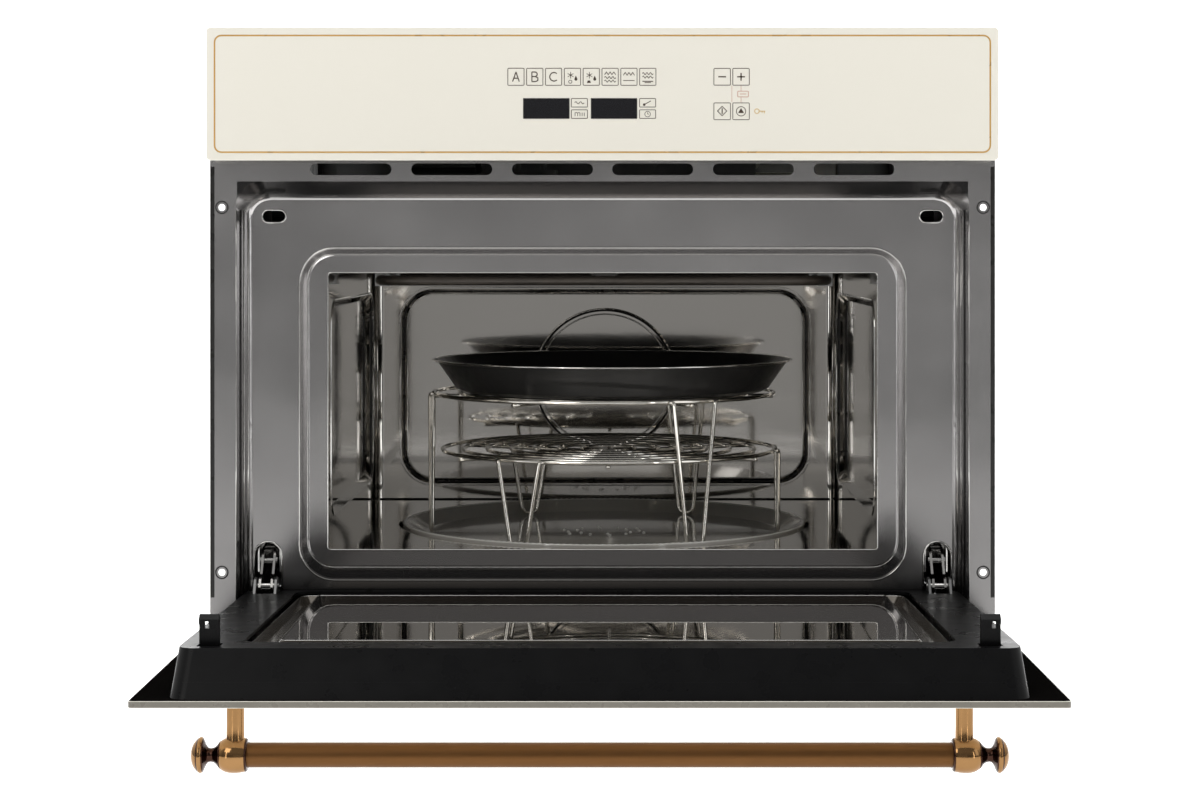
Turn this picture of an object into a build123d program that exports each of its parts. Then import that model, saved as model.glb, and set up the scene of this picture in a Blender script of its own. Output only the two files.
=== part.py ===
from build123d import *
import os

os.makedirs("parts", exist_ok=True)

# ---------------------------------------------------------------- driving dimensions (mm)
# Working frame: X right, Y to the back of the cabinet niche from the front flange's rear face, Z up from the
# underside of the casing. Every shape is then moved by -Y_BASE so that the origin is the middle of the base plate.
FRONT_W = 595.0          # width of control panel and door glass
FRONT_H = 455.0          # underside of casing to top of control panel
Y_BASE = 278.5           # middle of the flat base plate
SHEET = 0.8
PANEL_Y = -21.0          # front of the control panel and of the closed door
PANEL_Z0 = 355.0
POCKET_Y = 17.0          # front surface of the drawn recess round the opening
BOSS_Y = 11.0            # front surface of the raised rim of the oven opening
CAV_HX = 210.0           # half width of the cavity
CAV_Z0, CAV_Z1 = 58.5, 270.5
CAV_Y1 = 372.0
TT_Y = 192.0             # turntable axis
WELL_R, WELL_Z = 171.5, 32.5
TRAY_R = 168.0
TOP = 51.0               # flat top of the glass tray
HINGE_Y, HINGE_Z = 10.0, 31.0
ARM_X = 256.5
HOOK_X, LATCH_Z = 252.0, 313.5
HOLE_X, HOLE_Z0, HOLE_Z1, HOLE_R = 289.0, 43.0, 320.0, 2.6
VENT_X = (-191.0, -114.5, -38.0, 38.0, 114.5, 191.0)
GLASS_Y = -16.6          # back of the door's outer glass
POST_X, BAR_Z, BAR_Y = 233.5, 324.5, -56.0
TILT = 1.3               # the door's inner face leans back towards the hinge by this many degrees
CASE_X, CASE_Z1, CASE_Y1 = 277.0, 446.0, 515.0


def out(name, *shapes):
    """Write one node: its solids, moved to the row frame."""
    solids = []
    for s in shapes:
        solids += list(s.solids())
    moved = [Pos(0, -Y_BASE, 0) * s for s in solids]
    export_step(moved[0] if len(moved) == 1 else Compound(children=moved), f"parts/{name}.step")


def bx(x0, x1, y0, y1, z0, z1):
    return Pos((x0 + x1) / 2, (y0 + y1) / 2, (z0 + z1) / 2) * Box(abs(x1 - x0), abs(y1 - y0), abs(z1 - z0))


def cyl_x(r, x0, x1, y, z):
    return Pos((x0 + x1) / 2, y, z) * Rot(0, 90, 0) * Cylinder(r, abs(x1 - x0))


def cyl_y(r, x, y0, y1, z):
    return Pos(x, (y0 + y1) / 2, z) * Rot(90, 0, 0) * Cylinder(r, abs(y1 - y0))


def cyl_z(r, x, y, z0, z1):
    return Pos(x, y, (z0 + z1) / 2) * Cylinder(r, abs(z1 - z0))


def rr_y(x0, x1, z0, z1, r, y0, y1):
    pl = Plane(origin=((x0 + x1) / 2, y0, (z0 + z1) / 2), x_dir=(1, 0, 0), z_dir=(0, 1, 0))
    return extrude(pl * RectangleRounded(abs(x1 - x0), abs(z1 - z0), r), abs(y1 - y0))


def rr_z(x0, x1, y0, y1, r, z0, z1):
    pl = Plane(origin=((x0 + x1) / 2, (y0 + y1) / 2, z0), x_dir=(1, 0, 0), z_dir=(0, 0, 1))
    return extrude(pl * RectangleRounded(abs(x1 - x0), abs(y1 - y0), r), abs(z1 - z0))


def taper_y(a, ya, ra, b, yb, rb):
    secs = []
    for (x0, x1, z0, z1), y, r in ((a, ya, ra), (b, yb, rb)):
        pl = Plane(origin=((x0 + x1) / 2, y, (z0 + z1) / 2), x_dir=(1, 0, 0), z_dir=(0, 1, 0))
        secs.append(pl * RectangleRounded(abs(x1 - x0), abs(z1 - z0), r))
    return loft(secs)


def taper_x(a, xa, ra, b, xb, rb):
    secs = []
    for (y0, y1, z0, z1), x, r in ((a, xa, ra), (b, xb, rb)):
        pl = Plane(origin=(x, (y0 + y1) / 2, (z0 + z1) / 2), x_dir=(0, 1, 0), z_dir=(1, 0, 0))
        secs.append(pl * RectangleRounded(abs(y1 - y0), abs(z1 - z0), r))
    return loft(secs)


def slot_y(xc, zc, w, h, y0, y1):
    return rr_y(xc - w / 2, xc + w / 2, zc - h / 2, zc + h / 2, min(w, h) / 2 - 0.01, y0, y1)


def tube(points, radii, r):
    path = FilletPolyline(*points, radius=radii)
    return sweep(Plane(origin=path @ 0, z_dir=path % 0) * Circle(r), path=path)


def plate_x(pts, x0, x1):
    """Flat plate in the YZ plane from a list of (y, z) points."""
    f = Plane(origin=(min(x0, x1), 0, 0), x_dir=(0, 1, 0), z_dir=(1, 0, 0)) * make_face(Polyline(*pts, close=True))
    return extrude(f, abs(x1 - x0))


def fil(s, edges, r):
    try:
        f = fillet(edges, r)
        return f if all(x.is_valid for x in f.solids()) else s
    except Exception:
        return s


def at_y(s, y, tol=0.02):
    return [e for e in s.edges() if abs(e.bounding_box().min.Y - y) < tol and abs(e.bounding_box().max.Y - y) < tol]


def grow(b, d):
    return (b[0] - d, b[1] + d, b[2] - d, b[3] + d)


def sides(f):
    return [f(-1), f(1)]


# ---------------------------------------------------------------- front frame: drawn steel plate
P_OUT, P_IN = (-278.5, 278.5, -40.0, 340.0), (-270.5, 270.5, -40.0, 328.0)
B_OUT, B_IN = (-233.0, 233.0, 34.0, 290.0), (-225.0, 225.0, 46.0, 284.0)
air = taper_y(P_OUT, -1, 20, P_IN, POCKET_Y, 16) + rr_y(*P_OUT, 20, -3.0, -1)
air = fil(air, [e for e in at_y(air, POCKET_Y) if e.bounding_box().max.Z > -30], 4.0)
boss = taper_y(B_IN, BOSS_Y, 20, B_OUT, POCKET_Y + 1.0, 27)
boss = fil(boss, at_y(boss, BOSS_Y), 2.5)
air = air - boss
metal = taper_y(grow(P_OUT, 1), -1, 21, grow(P_IN, 1), POCKET_Y + 1, 17)
hollow = taper_y(grow(B_IN, -1), BOSS_Y + 1, 19, grow(B_OUT, -1), POCKET_Y + 3.0, 26)
frame = rr_y(-298, 298, 10, 452, 3, -1, 0) + (metal & bx(-300, 300, -1, 30, 10, 400))
frame = frame - air - hollow
frame = frame - bx(-280, 280, POCKET_Y - 0.5, 30, -1, 18) - bx(-279.6, 279.6, 0, 30, -1, 17.5)
frame = frame + bx(-271, 271, POCKET_Y, 42, 18, 19) + bx(-271, 271, 42, 43, 0.8, 19)
frame = frame - rr_y(-CAV_HX, CAV_HX, CAV_Z0, CAV_Z1, 2.5, 0, 30)
for vx in VENT_X:
    frame = frame - slot_y(vx, 349.0, 61.5, 9.0, -5, 5)
for s in (-1, 1):
    frame = frame - slot_y(s * HOOK_X, LATCH_Z, 17.0, 8.4, 5, 30)
    frame = frame - (rr_y(s * ARM_X - 10.2, s * ARM_X + 10.2, 30, 63.5, 10.1, 5, 17.99 + 6) + bx(s * ARM_X - 10.2, s * ARM_X + 10.2, 5, 24, 15, 45))
    for hz in (HOLE_Z0, HOLE_Z1):
        frame = frame - cyl_y(HOLE_R, s * HOLE_X, -5, 5, hz)
    for hz in (365.0, 438.0):
        frame = frame - cyl_y(1.7, s * 262, -5, 5, hz)
frame = frame - rr_y(-240, 240, 374, 440, 5, -5, 5)
out("front_frame", frame)

# ---------------------------------------------------------------- control panel
fascia = rr_y(-FRONT_W / 2, FRONT_W / 2, PANEL_Z0, FRONT_H, 3, PANEL_Y, PANEL_Y + 4)
fascia = fil(fascia, at_y(fascia, PANEL_Y), 0.8)
DISP = ((-59.2, -25.0), (-8.3, 25.8))
for a, b in DISP:
    fascia = fascia - bx(a, b, PANEL_Y - 1, PANEL_Y + 10, 386.6, 401.4)
out("control_panel_glass", fascia)
out("display_windows", *[bx(a, b, PANEL_Y + 0.1, PANEL_Y + 4, 386.6, 401.4) for a, b in DISP])
carrier = rr_y(-295.5, 295.5, PANEL_Z0 + 1.5, FRONT_H - 1.5, 3, PANEL_Y + 4, -1) - rr_y(-292.5, 292.5, PANEL_Z0 + 4.5, FRONT_H - 4.5, 2, PANEL_Y + 3, 0)
for s in (-1, 1):
    for zz in (365.0, 438.0):
        carrier = carrier + bx(s * 262 - 6, s * 262 + 6, PANEL_Y + 4, -1, zz - 6, zz + 6) - cyl_y(1.6, s * 262, -14, 0, zz)
out("control_panel_carrier", carrier)
out("panel_screws", *[cyl_y(1.5, s * 262, -12, 0, zz) + cyl_y(3.4, s * 262, 0, 2.2, zz) for s in (-1, 1) for zz in (365.0, 438.0)])
KEYS = [(-64.9 + 14.14 * i, 417.8, 12.4) for i in range(8)]
KEYS += [(89.9, 417.8, 12.6), (104.1, 417.8, 12.6), (89.9, 392.0, 12.6), (104.1, 392.0, 12.6), (-17.15, 394.0, 12.0), (33.9, 394.0, 12.0)]
out("touch_sensor_springs", *[cyl_y(4.6, kx, PANEL_Y + 4, -11.5, kz) - cyl_y(3.9, kx, PANEL_Y + 4.6, -11, kz) for kx, kz, kw in KEYS])
board = bx(-110, 130, -11.5, -9.9, 378, 438)
out("control_board", board, bx(-80, -62, -9.9, -7.9, 405, 423), bx(40, 52, -9.9, -6.5, 384, 396), bx(70, 96, -9.9, -3.5, 425, 433),
    *[bx(a + 1, b - 1, PANEL_Y + 4.2, -11.5, 387.4, 400.6) for a, b in DISP])


# ---------------------------------------------------------------- cavity liner
def cavity(d):
    y0 = BOSS_Y + 1
    v = bx(-CAV_HX - d, CAV_HX + d, y0, CAV_Y1 + d, CAV_Z0 - d, CAV_Z1 + d)
    v = fil(v, [e for e in v.edges() if e.bounding_box().size.Z > 200 and e.bounding_box().min.Y > 100], 8 + d)
    v = v + taper_y((-187 - d, 187 + d, 72 - d, 252 + d), CAV_Y1 - 1, 30 + d, (-181 - d, 181 + d, 78 - d, 246 + d), CAV_Y1 + 5 + d, 25 + d)
    for s in (-1, 1):
        v = v + taper_x((32 - d, 350 + d, 80 - d, 248 + d), s * (CAV_HX - 1), 24 + d, (38 - d, 344 + d, 86 - d, 242 + d), s * (CAV_HX + 5 + d), 20 + d)
    v = v + Pos(0, TT_Y, WELL_Z - d) * Cone(WELL_R - 5 + d, WELL_R + d, CAV_Z0 - WELL_Z + d + 0.1, align=(Align.CENTER, Align.CENTER, Align.MIN))
    return v


liner = cavity(SHEET) - cavity(0)
liner = liner - cyl_z(8.0, 0, TT_Y, 20, 50)
for i in range(6):
    for j in range(4):
        for s in (-1, 1):
            liner = liner - cyl_x(1.6, s * 206, s * 222, 250 + 8 * i, 205 + 8 * j)
liner = liner - bx(-48, 48, 165, 215, CAV_Z1 - 3, CAV_Z1 + 3)
for gx in (-14, 14):
    liner = liner - cyl_y(4.6, gx, CAV_Y1 - 5, CAV_Y1 + 15, 262.7)
SPLIT_Y, SPLIT_Z = CAV_Y1 - 9, CAV_Z0 + 0.01
rear = liner & bx(-300, 300, SPLIT_Y, 420, SPLIT_Z, 300)
boss_ring = cyl_y(66.0, 0, CAV_Y1 + 3.2, CAV_Y1 + 5.4, 167.5) - cyl_y(60.0, 0, CAV_Y1, CAV_Y1 + 9, 167.5)
rear = rear + fil(boss_ring, at_y(boss_ring, CAV_Y1 + 3.2), 1.0)
floor = liner & bx(-300, 300, 0, 420, 0, SPLIT_Z)
wrap = liner & bx(-300, 300, 0, SPLIT_Y, SPLIT_Z, 300)
out("cavity_rear_wall", rear)
out("cavity_floor", floor)
out("cavity_wrap", wrap)
out("waveguide_cover", rr_z(-56, 56, 158, 222, 5, CAV_Z1 - 1.3, CAV_Z1 - 0.1))

GZ = 262.7
pts = [(-14, CAV_Y1 + 24, GZ), (-14, 300, GZ), (-183, 300, GZ), (-183, 110, GZ), (183, 110, GZ), (183, 300, GZ), (14, 300, GZ), (14, CAV_Y1 + 24, GZ)]
out("grill_element", tube(pts, [12, 34, 34, 34, 34, 12], 4.0))
clips = []
for gx, gy in ((-183, 165), (183, 165), (-183, 255), (183, 255)):
    c = bx(gx - 6, gx + 6, gy - 6, gy + 6, 257.4, CAV_Z1)
    clips.append(c - (cyl_y(4.05, gx, gy - 9, gy + 9, GZ) if abs(gx) > 150 else cyl_x(4.05, gx - 9, gx + 9, gy, GZ)))
out("grill_brackets", *clips)

# ---------------------------------------------------------------- turntable
motor = cyl_z(24.5, 0, TT_Y, 9, 29) + bx(-34, 34, TT_Y - 6, TT_Y + 6, 27, 29) + cyl_z(7, 0, TT_Y, 29, 31)
out("turntable_motor", motor - cyl_z(1.5, -30, TT_Y, 20, 40) - cyl_z(1.5, 30, TT_Y, 20, 40) - cyl_z(3.55, 0, TT_Y, 18, 40))
coup = cyl_z(3.5, 0, TT_Y, 20, 33) + cyl_z(6.0, 0, TT_Y, 32, 44) + cyl_z(13, 0, TT_Y, 38, 42)
for k in range(3):
    coup = coup + Pos(0, TT_Y, 0) * Rot(0, 0, 120 * k + 90) * bx(6, 20, -3.5, 3.5, 38, 42)
    coup = coup + Pos(0, TT_Y, 0) * Rot(0, 0, 120 * k + 90) * bx(12, 19, -3, 3, 41.5, 45.6)
out("turntable_coupler", coup)
WH_R = 6.85
WH_Z = WELL_Z + 0.05 + WH_R
rring = Pos(0, TT_Y, WH_Z) * (Cylinder(110, 4.4) - Cylinder(104, 6)) + Pos(0, TT_Y, WH_Z) * (Cylinder(30, 4.4) - Cylinder(25, 6))
for k in range(3):
    at = Pos(0, TT_Y, WH_Z) * Rot(0, 0, 120 * k + 30)
    rring = rring + at * bx(29.5, 104.5, -4, 4, -2.2, 2.2) + at * cyl_x(2.0, 109, 128, 0, 0) + at * cyl_x(3.2, 125.6, 128, 0, 0)
    w = at * (cyl_x(WH_R, 115, 125, 0, 0) - cyl_x(2.06, 114, 126, 0, 0))
    out(f"roller_{k + 1}", w)
out("roller_ring", rring)
TZ = WH_Z + WH_R + 0.15
prof = Polyline((0, TZ), (TRAY_R - 16.5, TZ), (TRAY_R - 4, TZ + 5.4), (TRAY_R, TZ + 7.0), (TRAY_R, 60.0), (TRAY_R - 3, 60.0), (TRAY_R - 17, TOP), (0, TOP), close=True)
tray = Pos(0, TT_Y, 0) * revolve(Plane.XZ * make_face(prof), Axis.Z)
for k in range(3):
    tray = tray + (Pos(0, TT_Y, 0) * Rot(0, 0, 120 * k + 30) * bx(9, 21, -2.2, 2.2, TZ - 2.6, TZ + 0.5))
out("glass_tray", tray)


def rack(cx, rings, z_top, angs, r_w, spoke0, v_foot=6.5, v_top=19.0):
    """Welded wire rack: concentric rings, three cross wires under them and three V legs outside the largest ring."""
    zr = z_top - r_w
    wires = [Pos(cx, TT_Y, zr) * Torus(r, r_w) for r in rings]
    # each cross wire is two half wires, so that the three meet in the middle without running through each other
    for k in range(6):
        wires.append(Pos(cx, TT_Y, zr - 2 * r_w - 0.02) * Rot(0, 0, spoke0 + 60 * k) * cyl_x(r_w, 4.2, rings[0], 0, 0))
    zf, lr = TOP + 0.1 + r_w, rings[0] + 2 * r_w - 0.9
    for a in angs:
        leg = tube([(lr, v_top, zr), (lr, v_foot, zf), (lr, -v_foot, zf), (lr, -v_top, zr)], [5, 5], r_w)
        wires.append(Pos(cx, TT_Y, 0) * Rot(0, 0, a) * leg)
    return wires


out("low_rack", *rack(4, [139, 122, 102, 82, 62, 42, 22], 122.6, (0, 120, 240), 1.8, 30))
out("high_rack", *rack(0, [142, 120, 97, 74, 50, 25], 169.8, (60, 180, 300), 1.8, 0))
pz = 169.9
pp = Polyline((0, pz), (126, pz), (131, pz + 2.5), (146.5, pz + 24.3), (150.2, pz + 25.0), (150.2, pz + 26.2), (145.6, pz + 26.2), (129.5, pz + 3.9), (125.5, pz + 1.5), (0, pz + 1.5), close=True)
out("crisp_pan", Pos(7, TT_Y, 0) * revolve(Plane.XZ * make_face(pp), Axis.Z))

# ---------------------------------------------------------------- casing
base = bx(-276, 276, 43, CASE_Y1, 0, SHEET)
base = base - cyl_z(20, 0, TT_Y, -1, 5)
for i in range(8):
    for j in range(3):
        base = base - rr_z(-200 + 26 * i, -182 + 26 * i, 420 + 18 * j, 425 + 18 * j, 2, -1, 3)
out("base_plate", base)
for nm, s in (("side_panel_left", -1), ("side_panel_right", 1)):
    p = bx(s * CASE_X, s * (CASE_X - SHEET), 19.2, CASE_Y1, SHEET, CASE_Z1) - bx(s * 270, s * 280, 0, 43, 0, 19)
    p = p + bx(s * CASE_X, s * (CASE_X - SHEET), 0.0, 19.3, 342.5, CASE_Z1) + bx(s * (CASE_X - SHEET), s * 262, CASE_Y1 - SHEET, CASE_Y1, SHEET, CASE_Z1 - SHEET)
    for i in range(10):
        p = p - bx(s * 270, s * 280, 380 + 10 * i, 384 + 10 * i, 330, 390)
    for zz in (30, 225, 420):
        p = p - cyl_y(1.6, s * 268, CASE_Y1 - 5, CASE_Y1 + 5, zz)
    out(nm, p)
top = bx(-CASE_X + SHEET, CASE_X - SHEET, 0.0, CASE_Y1, CASE_Z1 - SHEET, CASE_Z1)
for i in range(12):
    top = top - rr_z(-150 + 22 * i, -144 + 22 * i, 330, 400, 2.9, CASE_Z1 - 5, CASE_Z1 + 5)
out("top_cover", top)
GX, GLZ = -205.0, 410.0
rearc = bx(-CASE_X, CASE_X, CASE_Y1, CASE_Y1 + SHEET, SHEET, CASE_Z1)
for i in range(9):
    for za, zb in ((296, 350), (386, 428)):
        rearc = rearc - rr_y(60 + 14 * i, 68 + 14 * i, za, zb, 3.9, CASE_Y1 - 5, CASE_Y1 + 5)
rearc = rearc - cyl_y(9.0, GX, CASE_Y1 - 5, CASE_Y1 + 5, GLZ)
for s in (-1, 1):
    for zz in (30, 225, 420):
        rearc = rearc - cyl_y(1.6, s * 268, CASE_Y1 - 5, CASE_Y1 + 5, zz)
out("rear_cover", rearc)
out("casing_screws", *[cyl_y(1.5, s * 268, CASE_Y1 - 6, CASE_Y1 + SHEET, zz) + cyl_y(3.8, s * 268, CASE_Y1 + SHEET, CASE_Y1 + SHEET + 2.2, zz) for s in (-1, 1) for zz in (30, 225, 420)])
gland = cyl_y(8.9, GX, CASE_Y1 - 3, CASE_Y1 + 4, GLZ) + cyl_y(12, GX, CASE_Y1 + SHEET, CASE_Y1 + 4, GLZ) + cyl_y(11, GX, CASE_Y1 - 6, CASE_Y1, GLZ)
out("cable_gland", gland - cyl_y(4.5, GX, CASE_Y1 - 8, CASE_Y1 + 8, GLZ))

# ---------------------------------------------------------------- power and cooling parts above the cavity
ZT = CAV_Z1 + SHEET
wg = bx(-50, 120, 163, 217, ZT, ZT + 30) - bx(-48.5, 118.5, 164.5, 215.5, ZT - 1, ZT + 28.5) - cyl_z(12, 85, 190, ZT + 20, ZT + 40)
out("waveguide", wg)
mag = bx(45, 125, 150, 230, ZT + 30, ZT + 34) + bx(45, 125, 150, 152, ZT + 34, ZT + 92) + bx(45, 125, 228, 230, ZT + 34, ZT + 92) + cyl_z(20, 85, 190, ZT + 34, ZT + 88)
mag = mag + cyl_z(9, 85, 190, ZT + 8, ZT + 36) + bx(45, 125, 150, 230, ZT + 88, ZT + 92) + bx(65, 105, 170, 210, ZT + 92, ZT + 112)
for i in range(6):
    mag = mag + (bx(50, 120, 153.5, 226.5, ZT + 42 + 7.5 * i, ZT + 43 + 7.5 * i))
out("magnetron", mag)
tr = bx(-215, -125, 330, 400, ZT + 6, ZT + 78) + bx(-222, -118, 335, 395, ZT, ZT + 6) + bx(-205, -135, 312, 330, ZT + 18, ZT + 66) + bx(-205, -135, 400, 418, ZT + 18, ZT + 66)
out("hv_transformer", tr)
out("hv_capacitor", rr_z(-95, -45, 400, 435, 17, ZT, ZT + 90) + cyl_z(3, -82, 417, ZT + 90, ZT + 98) + cyl_z(3, -58, 417, ZT + 90, ZT + 98))
FX, FZ = 130.0, 355.0
fh = bx(FX - 60, FX + 60, 455, 500, FZ - 60, FZ + 60) - cyl_y(53, FX, 450, 505, FZ) + bx(FX - 60, FX + 60, 496, 498, FZ - 4, FZ + 4) + cyl_y(16, FX, 494, 498, FZ)
fh = fh + bx(FX - 60, FX + 60, 470, 500, ZT, FZ - 60)
out("fan_housing", fh - cyl_y(1.6, FX, 490, 500, FZ))
out("fan_motor", cyl_y(20, FX, 474, 494, FZ) - cyl_y(1.56, FX, 470, 500, FZ))
imp = cyl_y(1.5, FX, 458, 493, FZ) + cyl_y(9, FX, 459, 471, FZ)
for k in range(7):
    bl = Rot(0, 0, 0) * (Pos(FX, 465, FZ) * Rot(0, 360 / 7 * k, 0) * (Pos(28, 0, 0) * Rot(32, 0, 0) * Box(44, 1.6, 12)))
    imp = imp + bl
out("fan_impeller", imp)
duct = bx(60, 200, 232, 454, FZ - 61, FZ + 61) - bx(61.5, 198.5, 230, 456, FZ - 59.5, FZ + 59.5)
out("air_duct", duct - bx(30, 130, 225, 235, 250, 420))
out("cavity_lamp", rr_z(-262, -224, 255, 300, 4, 206, 240) + cyl_x(7, -224, -217, 274, 217))
out("noise_filter", bx(-262, -202, 430, 492, ZT, ZT + 1.6) + bx(-255, -230, 440, 480, ZT + 1.6, ZT + 26) + cyl_z(8, -214, 448, ZT + 1.6, ZT + 22) + cyl_z(8, -214, 472, ZT + 1.6, ZT + 22))
out("terminal_block", bx(-262, -222, 480, 505, ZT + 60, ZT + 78) + bx(-266, -218, 476, 508, ZT + 57, ZT + 60) + bx(-262, -222, 493, 496, ZT, ZT + 57))
wires = [tube([(-205, 500, 410), (-205, 462, 410), (-205, 462, 362), (-120, 462, 362), (-120, 440, 362), (-120, 440, 405), (-70, 440, 405), (-70, 6, 405)], [8] * 6, 3.0),
         tube([(-60, 6, 395), (-60, 100, 395), (20, 100, 395), (20, 190, 395), (62, 190, 395)], [8] * 3, 2.2),
         tube([(-80, 6, 390), (-80, 60, 390), (-245, 60, 390), (-245, 60, 345), (-245, 52, 345)], [8, 8, 3], 2.2),
         tube([(-50, 6, 388), (-50, 50, 388), (245, 50, 388), (245, 50, 345)], [8, 8], 2.2)]
out("wiring_harness", *wires)

# ---------------------------------------------------------------- latch housings and hinges in the body
lb, sw = [], []
for s in (-1, 1):
    lb.append(bx(s * 240, s * 264, 18, 44, 298, 300) + bx(s * 240, s * 242, 18, 60, 298, 340) + bx(s * 262, s * 264, 18, 60, 298, 340))
    sw.append(bx(s * 246, s * 258, 48, 64, 300, 322) + cyl_x(1.5, s * 247, s * 257, 46.5, 312))
out("latch_brackets", *lb)
out("interlock_switches", *sw)
for nm, s in (("hinge_arm_left", -1), ("hinge_arm_right", 1)):
    c = s * ARM_X
    pl = [(3.5, 31), (5.5, 26.5), (10, 24.5), (15, 26.5), (22, 36), (60, 52), (60, 64), (24, 58), (12, 40), (6.5, 37)]
    arm = plate_x(pl, c - 5.4, c - 3.6) + plate_x(pl, c + 3.6, c + 5.4) + cyl_x(2.4, c - 5.4, c + 5.4, 23, 49) + cyl_x(2.4, c - 5.4, c + 5.4, 52, 56)
    arm = arm + cyl_x(3.4, c - 6.6, c - 5.4, 23, 49) + cyl_x(3.4, c + 5.4, c + 6.6, 23, 49)
    arm = arm - cyl_x(2.55, c - 8, c + 8, HINGE_Y, HINGE_Z)
    rec = bx(c - 9, c + 9, 24.5, 110, 66, 67.2) + bx(c - 9, c - 7.8, 24.5, 110, 40, 66) + bx(c + 7.8, c + 9, 24.5, 110, 40, 66) + bx(c - 9, c + 9, 108, 110, 40, 66)
    arm = arm + bx(c - 8.5, c + 8.5, 53, 60.5, 54, 66.5) + rec
    out(nm, arm)


# ---------------------------------------------------------------- door, drawn closed and then swung open
def tl(s):
    return Pos(0, 13, 328) * (Rot(-TILT, 0, 0) * (Pos(0, -13, -328) * s))


def opened(s):
    """Swing by 90 degrees about the hinge: closed (y, z) goes to (y + z of the hinge - z, ...)."""
    return Pos(0, HINGE_Y, HINGE_Z) * (Rot(90, 0, 0) * (Pos(0, -HINGE_Y, -HINGE_Z) * s))


def dout(name, *shapes):
    out(name, *[opened(s) for s in shapes])


glass = rr_y(-FRONT_W / 2, FRONT_W / 2, 2, 351, 3, PANEL_Y, GLASS_Y)
for s in (-1, 1):
    glass = glass - cyl_y(2.3, s * POST_X, -25, -10, BAR_Z)
dout("door_outer_glass", glass)


def body(d):
    """Outside of the door's inner housing, shrunk by d."""
    b = taper_y(grow((-273.4, 273.4, 8, 346), -d), GLASS_Y, 11 - d, grow((-272.3, 272.3, 8, 340), -d), -6.6, 11 - d)
    t = taper_y(grow((-272.3, 272.3, 26, 340), -d), -6.7 - 2 * d, 11 - d, grow((-269.7, 269.7, 26, 321.3), -d), 24, 11 - d)
    cut = tl(bx(-300, 300, 13 - d, 60, -60, 400))
    return (b & bx(-300, 300, GLASS_Y, -6.6 - d, 0, 400)) + (t & bx(-300, 300, -12, 60, 0, 400)) - cut


shell = body(0) - (body(2.2) + bx(-262, 262, GLASS_Y - 1, -12, 14, 336))
WIN = (-232.9, 232.9, 33, 301)
hole = tl(rr_y(*WIN, 12, -30, 40))
shell = shell - hole
for s in (-1, 1):
    shell = shell - bx(s * ARM_X - 9.6, s * ARM_X + 9.6, -12, 30, 10, 48)
    shell = shell - bx(s * HOOK_X - 7.6, s * HOOK_X + 7.6, 2, 30, 306.5, 319.5)
shell = shell + bx(-262, 262, GLASS_Y, -12, 305.5, 307.5)
for s in (-1, 1):
    shell = shell + bx(s * POST_X - 9, s * POST_X + 9, GLASS_Y, -14.4, 314, 336) - cyl_y(2.3, s * POST_X, -25, -10, BAR_Z)
dout("door_inner_frame", shell)

cho = rr_y(-232.6, 232.6, 33.3, 300.7, 11.7, -9, 10.0)
cho = fil(cho, at_y(cho, 10.0), 4.0)
cho = tl(cho - taper_y((-229, 229, 37, 297), 10.1, 8, (-225, 225, 41, 293), 5.0, 6))
cho = cho + taper_y((-223.5, 223.5, 58, 291), -5, 8, (-211.4, 211.4, 78.6, 280.4), 10.0, 4)
cho = cho - taper_y((-221.2, 221.2, 60.5, 288.5), -9.1, 8, (-209, 209, 81, 278), 4.7, 4)
cho = cho - rr_y(-210.2, 210.2, 80, 279, 3, 6.7, 12) - rr_y(-197, 197, 93, 266, 3, -20, 20)
cho = cho - tl(rr_y(-226, 226, 40, 294, 6, -12, -6))
dout("door_choke_frame", cho)
dout("door_inner_glass", rr_y(-210, 210, 80.2, 278.8, 2.8, 6.8, 10.0))
dout("door_mesh_screen", tl(rr_y(-225.5, 225.5, 40.5, 293.5, 5, -7.2, -6.2)))

for nm, s in (("door_hook_left", -1), ("door_hook_right", 1)):
    c = s * HOOK_X
    pl = [(0.5, 309.8), (0.5, 314.4), (26.5, 314.4), (26.5, 316.6), (29.5, 316.6), (32.5, 313.4), (32.5, 311.8), (30, 310.8), (4, 310.6), (4, 309.8)]
    hk = plate_x(pl, c - 6.5, c + 6.5) - cyl_x(1.56, c - 8, c + 8, 2.4, 312.1) - bx(c + s * 2 - 1.2, c + s * 2 + 1.8, 23.5, 28.2, 300, 325)
    dout(nm, hk)
dout("hook_pivots", *[cyl_x(1.5, s * HOOK_X - 9, s * HOOK_X + 9, 2.4, 312.1) + bx(s * HOOK_X - 9.5, s * HOOK_X - 7.7, -8, 5, 308, 316) + bx(s * HOOK_X + 7.7, s * HOOK_X + 9.5, -8, 5, 308, 316)
                      + bx(s * HOOK_X - 9.5, s * HOOK_X + 9.5, -9.6, -8, 308, 316) for s in (-1, 1)])

ch, pins = [], []
for s in (-1, 1):
    c = s * ARM_X
    pl = [(-14, 16), (-14, 150), (1, 150), (1, 46), (16, 38), (17, 31), (14, 25.5), (2, 22), (-6, 16)]
    u = plate_x(pl, c - 8.8, c - 7.0) + plate_x(pl, c + 7.0, c + 8.8) + bx(c - 8.8, c + 8.8, -16, -14, 16, 150)
    ch.append(u - cyl_x(2.5, c - 12, c + 12, HINGE_Y, HINGE_Z))
    pins.append(cyl_x(2.5, c - 9.3, c + 9.3, HINGE_Y, HINGE_Z))
dout("hinge_channels", *ch)
dout("hinge_pins", *pins)

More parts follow.
